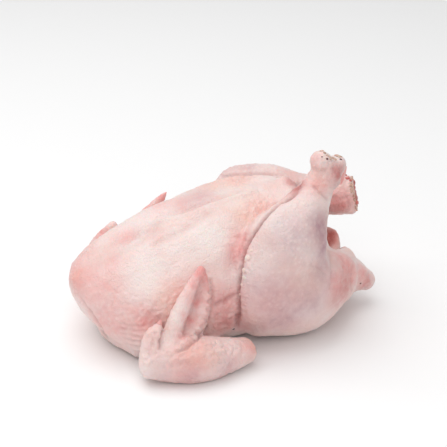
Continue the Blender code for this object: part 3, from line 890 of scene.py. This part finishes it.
def fold(mesh, surface):
    """Presses the grooves in and raises the ridges; returns each point's painted shade from its groove's
    depth.
    """
    points, normals = places_of(mesh), normals_of(mesh)
    push = np.zeros(len(points))
    depth = np.zeros(len(points))
    strokes = [
        (route, facings, reach, height, groove_shade)
        for routes, reach, height, both, groove_shade in FOLDS
        for pixels in routes
        for route, facings in sides_of(surface, smooth_route(pixels), both)
    ]
    left_crease = [surface.find_nearest(place)[:2] for place in smooth_route(LEFT_LEG_CREASE)]
    strokes.append(tuple(np.array(part) for part in zip(*left_crease)) + LEFT_CREASE_SIZE)
    for route, facings, reach, height, groove_shade in strokes:
        away, along, nearest = near_route(points, route)
        alike = np.clip((normals * facings[nearest]).sum(axis=1) * FOLD_GRIP, 0, 1)
        fade = np.sqrt(np.clip(np.minimum(along, 1 - along) * FOLD_TAPER, 0, 1))
        stroke = height * fade * alike * np.exp(-((away / reach) ** 2))
        push += stroke
        depth = np.maximum(depth, -stroke * groove_shade)
    reach, height, count = WEB_RUFFLES
    for route, _ in sides_of(surface, smooth_route(WEB_EDGE), False):
        away, along, _ = near_route(points, route)
        wave = np.sin(along * count * 2 * math.pi)
        push += height * wave * np.exp(-((away / reach) ** 2))
    move_to(mesh, points + normals * push[:, None])
    return depth


def pucker(mesh, masks):
    """Raises the pimples that the feathers left, with dimples and wrinkles; returns the pimples."""
    points, normals = places_of(mesh), normals_of(mesh)
    smooth = 1 - np.clip(np.maximum(masks["fat"] * FAT_SMOOTHNESS, masks["raw"]), 0, 1)
    pimples, wrinkles, crinkles = (
        height * smooth * (everywhere + added * masks[patch])
        for height, (everywhere, added), patch in (
            (PIMPLE_HEIGHT, PIMPLE_SHARES, "pimply"),
            (WRINKLE_HEIGHT, WRINKLE_SHARES, "blush"),
            (CRINKLE_HEIGHT, CRINKLE_SHARES, "crinkled"),
        )
    )
    push = np.zeros(len(points))
    shown = np.zeros(len(points))
    for i, p in enumerate(points):
        place = Vector(p)
        near = noise.voronoi(place / PIMPLE_SPACING)[0][0] / PIMPLE_RADIUS
        shown[i] = math.exp(-near * near)
        stretched = Vector([part / size for part, size in zip(p, WRINKLE_SIZE)])
        push[i] = pimples[i] * shown[i]
        push[i] += wrinkles[i] * noise.noise(stretched)
        push[i] += crinkles[i] * noise.noise(place / CRINKLE_SIZE)
        push[i] += DIMPLE_HEIGHT * noise.noise(place / DIMPLE_SIZE)
    move_to(mesh, points + normals * push[:, None])
    return shown


def patches(points, surface, spots):
    """How strongly each point shows a tone that is painted in soft patches."""
    strength = np.zeros(len(points))
    for pixel, reach, weight, both in spots:
        for places, _ in sides_of(surface, (pixel,), both):
            away = np.linalg.norm(points - places[0], axis=1) / (reach * MM)
            strength = strength + (1 - strength) * weight * np.exp(-(away**2))
    return strength


def lining(points):
    """1 on the raw inner wall of the cavity, fading at its rim, and 0 on the shanks beside it."""
    route = smooth_route([middle for middle, _, _ in CAVITY])
    radii = smooth_route([[wide, thick] for _, wide, thick in CAVITY]).mean(axis=1)
    away, _, nearest = near_route(points, route)
    inner = np.clip((CAVITY_LINING - away / radii[nearest]) * LINING_FADE, 0, 1)
    for shank in (RIGHT_DRUMSTICK, LEFT_DRUMSTICK):
        clear, _, _ = near_route(points, smooth_route([middle for middle, _, _ in shank[2:]]))
        inner *= np.clip((clear - SHANK_REACH) / SHANK_FADE, 0, 1)
    return inner


def paint(mesh, name, values):
    """Keeps a mask on the mesh's points, for the skin's material."""
    mask = mesh.attributes.new(name, "FLOAT", "POINT")
    mask.data.foreach_set("value", np.clip(values, 0, 1).astype(np.float32))


def flatten_rest(mesh):
    """Soft flesh lies flat on the surface below it."""
    points = places_of(mesh)
    points[:, 2] = np.maximum(points[:, 2], 0.0)
    move_to(mesh, points)


def raw_skin():
    """Raw chicken skin, scalded and plucked: thin and translucent over flesh and fat.

    Scalding left it satin and uneven in its gloss, plucking left pale pimples, and light that goes
    in comes back pink, so it shows blush, fat and a bruised mauve from below. Among its tones are
    painted shade, in hollows, undersides and grooves, and painted highlights on its wet shine.
    """
    material = bpy.data.materials.new("raw chicken skin")
    material.use_nodes = True
    tree = material.node_tree
    shader = tree.nodes["Principled BSDF"]
    where = add(tree, "TexCoord").outputs["Object"]
    cloudy, mottled, grainy = (
        add(tree, "TexNoise", {"Vector": where, "Scale": 1 / size, "Detail": detail}).outputs["Fac"]
        for size, detail in SKIN_PATTERNS
    )
    dots = add(tree, "Attribute", attribute_name="pimple").outputs["Fac"]
    marbled = add(tree, "MapRange", {"Value": cloudy, "From Min": 0.38, "From Max": 0.62}).outputs[0]
    colour = add(
        tree,
        "Mix",
        {0: marbled, 6: (*linear(PALE_SKIN), 1), 7: (*linear(FLUSHED_SKIN), 1)},
        data_type="RGBA",
    ).outputs[2]
    for name, code, strength in TONES:
        mask = add(tree, "Attribute", attribute_name=name).outputs["Fac"]
        uneven = add(
            tree,
            "MapRange",
            {"Value": mottled, "From Min": 0.3, "From Max": 0.7, "To Min": 0.74, "To Max": 1.22},
        ).outputs["Result"]
        amount = add(tree, "Math", {0: mask, 1: uneven}, operation="MULTIPLY").outputs[0]
        share = add(tree, "Math", {0: amount, 1: strength}, operation="MULTIPLY", use_clamp=True)
        colour = add(
            tree, "Mix", {0: share.outputs[0], 6: colour, 7: (*linear(code), 1)}, data_type="RGBA"
        ).outputs[2]
    pimply = add(tree, "Attribute", attribute_name="pimply").outputs["Fac"]
    plain = add(tree, "MapRange", {"Value": pimply, "To Min": 0.08, "To Max": 0.70}).outputs[0]
    dotted = add(tree, "Math", {0: dots, 1: plain}, operation="MULTIPLY").outputs[0]
    colour = add(
        tree, "Mix", {0: dotted, 6: colour, 7: (*linear(PIMPLE_TIP), 1)}, data_type="RGBA"
    ).outputs[2]
    tree.links.new(colour, shader.inputs["Base Color"])
    gloss = add(
        tree,
        "MapRange",
        {"Value": mottled, "From Min": 0.25, "From Max": 0.75, "To Min": 0.34, "To Max": 0.52},
    ).outputs["Result"]
    tree.links.new(gloss, shader.inputs["Roughness"])
    bump = add(tree, "Bump", {"Height": grainy, "Strength": 1.0, "Distance": 1.0 * MM})
    tree.links.new(bump.outputs["Normal"], shader.inputs["Normal"])
    shader.inputs["IOR"].default_value = 1.40
    shader.inputs["Subsurface Weight"].default_value = 0.25
    shader.inputs["Subsurface Radius"].default_value = (1.0, 0.40, 0.28)
    shader.inputs["Subsurface Scale"].default_value = 1.6 * MM
    return material


def moist(name, code, second, roughness, grain, scatter):
    """A moist tissue: two tones in grains of that size, and a wet gloss."""
    material = bpy.data.materials.new(name)
    material.use_nodes = True
    tree = material.node_tree
    shader = tree.nodes["Principled BSDF"]
    where = add(tree, "TexCoord").outputs["Object"]
    patchy = add(tree, "TexNoise", {"Vector": where, "Scale": 1 / grain, "Detail": 3}).outputs["Fac"]
    sharper = add(tree, "MapRange", {"Value": patchy, "From Min": 0.35, "From Max": 0.65}).outputs[0]
    colour = add(
        tree,
        "Mix",
        {0: sharper, 6: (*linear(code), 1), 7: (*linear(second), 1)},
        data_type="RGBA",
    ).outputs[2]
    tree.links.new(colour, shader.inputs["Base Color"])
    bump = add(tree, "Bump", {"Height": patchy, "Strength": 0.4, "Distance": 0.3 * MM})
    tree.links.new(bump.outputs["Normal"], shader.inputs["Normal"])
    shader.inputs["Roughness"].default_value = roughness
    shader.inputs["Subsurface Weight"].default_value = scatter
    shader.inputs["Subsurface Radius"].default_value = (1.0, 0.5, 0.4)
    shader.inputs["Subsurface Scale"].default_value = 1.5 * MM
    return material


def wear(obj, material):
    """The whole object gets that one material."""
    obj.data.materials.clear()
    obj.data.materials.append(material)
    obj.data.polygons.foreach_set("material_index", np.zeros(len(obj.data.polygons), np.int32))


def build_skin(material):
    """The whole skin: the masses made one, hollowed, drawn smooth, folded, puckered and painted."""
    masses = bpy.data.collections.new("masses")
    bpy.context.scene.collection.children.link(masses)
    torso(masses)
    legs(masses)
    wings(masses)
    tail_lobe_and_neck_skin(masses)
    cutter = limb("cavity", CAVITY, SIDEWAYS, bpy.context.scene.collection, blunt=CAVITY_BLUNT)
    skin = bpy.data.objects.new("chicken_skin", fused(masses, cutter, "chicken_skin"))
    bpy.context.scene.collection.objects.link(skin)
    relax(skin)
    mesh = skin.data
    cut = saw_left_shank(mesh)
    surface = surface_of(mesh)
    masks = {name: patches(places_of(mesh), surface, spots) for name, spots in PATCHES.items()}
    masks["raw"] = np.maximum(lining(places_of(mesh)), cut)
    # The grooves get painted shade by their depth
    masks["crease"] = fold(mesh, surface) / FULL_GROOVE_SHADE
    masks["pimple"] = pucker(mesh, masks)
    flatten_rest(mesh)
    for name, values in masks.items():
        paint(mesh, name, values)
    wear(skin, material)
    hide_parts(NODE)
    return skin


def lump(mesh, place, facing, along, size):
    """Adds an uneven lump on a surface; size is its reach along, across and out of the surface."""
    facing = Vector(facing).normalized()
    along = (Vector(along) - facing * facing.dot(Vector(along))).normalized()
    frame_there = Matrix((along * size[0], facing.cross(along) * size[1], facing * size[2]))
    placing = Matrix.Translation(place) @ frame_there.transposed().to_4x4()
    made = bmesh.ops.create_icosphere(mesh, subdivisions=3, radius=1.0, matrix=placing)
    for vertex in made["verts"]:
        uneven = noise.noise(vertex.co / LUMP_GRAIN)
        vertex.co += (vertex.co - place) * LUMP_UNEVENNESS * uneven


def piece(name, mesh, material):
    """An object of the lumps in the mesh, shaded smooth."""
    data = bpy.data.meshes.new(name)
    mesh.to_mesh(data)
    mesh.free()
    obj = bpy.data.objects.new(name, data)
    bpy.context.scene.collection.objects.link(obj)
    data.shade_smooth()
    wear(obj, material)
    return obj


def lumps(name, spots, surface, material, mesh=None):
    """Small pieces on the skin where the photograph shows them."""
    mesh = mesh or bmesh.new()
    _, right, _ = view_directions()
    for pixel, *size in spots:
        place, facing = seen(surface, pixel)
        if place is not None:
            lump(mesh, place, facing, right, [part * MM for part in size])
    return piece(name, mesh, material)


def ragged_rim(surface):
    """The torn gristle and skin round the sawn shank."""
    mesh = bmesh.new()
    middle, across, high, count, size = CUT_RIM
    step, *start = SHRED_SEED
    facing = Vector(LEFT_CUT[1]).normalized()
    up = (Vector((0, 0, 1)) - facing * facing.z).normalized()
    side = facing.cross(up)
    for i in range(count):
        angle = 2 * math.pi * i / count
        arm = side * math.cos(angle) * across + up * math.sin(angle) * high
        place = surface.find_nearest(Vector(middle) + arm)[0]
        uneven = noise.noise(Vector((i * step, *start)))
        if uneven < RIM_BARE:
            continue
        length, thickness = (
            size * (middling + more * uneven) for middling, more in (SHRED_LENGTH, SHRED_THICKNESS)
        )
        shred = (length, size * SHRED_WIDTH, thickness)
        lump(mesh, place + facing * size * SHRED_STAND, facing, facing.cross(arm), shred)
    return mesh


def skin_points(material):
    """Loose ends of skin at the hock, and the wing tips' points."""
    loose = bpy.data.collections.new("loose")
    bpy.context.scene.collection.children.link(loose)
    mesh = bmesh.new()
    for i, stations in enumerate(SKIN_POINTS):
        mesh.from_mesh(limb(f"point_{i}", stations, LENGTHWISE, loose).data)
    for obj in list(loose.objects):
        bpy.data.objects.remove(obj)
    bpy.data.collections.remove(loose)
    obj = piece("skin_points", mesh, material)
    paint(obj.data, "blush", np.full(len(obj.data.vertices), POINT_BLUSH))
    return obj


def settle(pieces, skin):
    """Every piece rides on the bird and moves so that the skin's box is centred on the solid's."""
    low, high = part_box(NODE)
    points = places_of(skin.data)
    move = (np.array(low) + np.array(high)) / 2 - (points.min(axis=0) + points.max(axis=0)) / 2
    move[2] = 0
    for part in pieces:
        move_to(part.data, places_of(part.data) + move)
        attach(part, "root")
    return move


def white_table():
    """The plain pale table that the bird lies on: painted matt, so it takes soft shade and no glare."""
    bpy.ops.mesh.primitive_plane_add(size=FLOOR_SIZE, location=(0, 0, 0))
    floor = bpy.context.object
    floor.name = "table_top"
    material = bpy.data.materials.new("matt white table")
    material.use_nodes = True
    shader = material.node_tree.nodes["Principled BSDF"]
    shader.inputs["Base Color"].default_value = (*linear("#FCFCFC"), 1)
    shader.inputs["Roughness"].default_value = 0.7
    floor.data.materials.append(material)


def soft_light(name, place, aim, size, power):
    """A square white lamp behind cloth, turned to its aim."""
    light = bpy.data.lights.new(name, "AREA")
    light.shape = "SQUARE"
    light.size = size
    light.energy = power
    lamp = bpy.data.objects.new(name, light)
    lamp.location = place
    lamp.rotation_mode = "QUATERNION"
    lamp.rotation_quaternion = (Vector(aim) - Vector(place)).to_track_quat("-Z", "Y")
    bpy.context.scene.collection.objects.link(lamp)


def studio():
    """A pale tent of light, with a large soft box above and a weak one in front on the left."""
    world = bpy.data.worlds.new("light tent")
    bpy.context.scene.world = world
    world.use_nodes = True
    background = world.node_tree.nodes["Background"]
    background.inputs["Color"].default_value = (*linear("#FFFFFF"), 1)
    background.inputs["Strength"].default_value = TENT_GLOW
    for box in SOFT_BOXES:
        soft_light(*box)
    bpy.context.scene.view_settings.view_transform = "Standard"


def camera(move):
    """The photograph's view, moved as the bird was."""
    data = bpy.data.cameras.new("camera")
    data.lens = data.sensor_width * CAMERA_DISTANCE / SEEN_WIDTH
    body = bpy.data.objects.new("camera", data)
    away, _, _ = view_directions()
    body.location = AIM + Vector(move) + away * CAMERA_DISTANCE
    body.rotation_mode = "QUATERNION"
    body.rotation_quaternion = (-away).to_track_quat("-Z", "Y")
    bpy.context.scene.collection.objects.link(body)
    bpy.context.scene.camera = body


skin_material = raw_skin()
skin = build_skin(skin_material)
surface = surface_of(skin.data)
# Sawn and torn through, gristle shows its grain in cream and brown under a moist gloss
gristle = moist("gristle, cut and moist", "#DDBFAF", "#B98C7A", 0.35, 2.5 * MM, 0.3)
# Fat pressed out of the crease is soft and nearly white, and the glossiest of the bird's surfaces
fat = moist("chicken fat, moist", "#F5E0D8", "#EFCDC3", 0.28, 4 * MM, 0.4)
# Blood clotted where a vessel was cut, so it is almost black-red, in thick small drops
blood = moist("clotted blood", "#6E2A2A", "#3C1516", 0.35, 1.5 * MM, 0.2)
# Flesh laid bare where the skin was pulled off: two reds, patchy and wet
meat = moist("bare chicken meat", "#C25B5C", "#D98A80", 0.32, 2.5 * MM, 0.3)
pieces = [
    skin,
    lumps("gristle", GRISTLE, surface, gristle, ragged_rim(surface)),
    lumps("fat_beads", FAT_BEADS, surface, fat),
    lumps("blood_spots", BLOOD_SPOTS, surface, blood),
    lumps("bare_meat", BARE_MEAT, surface, meat),
    skin_points(skin_material),
]
move = settle(pieces, skin)
white_table()
studio()
camera(move)
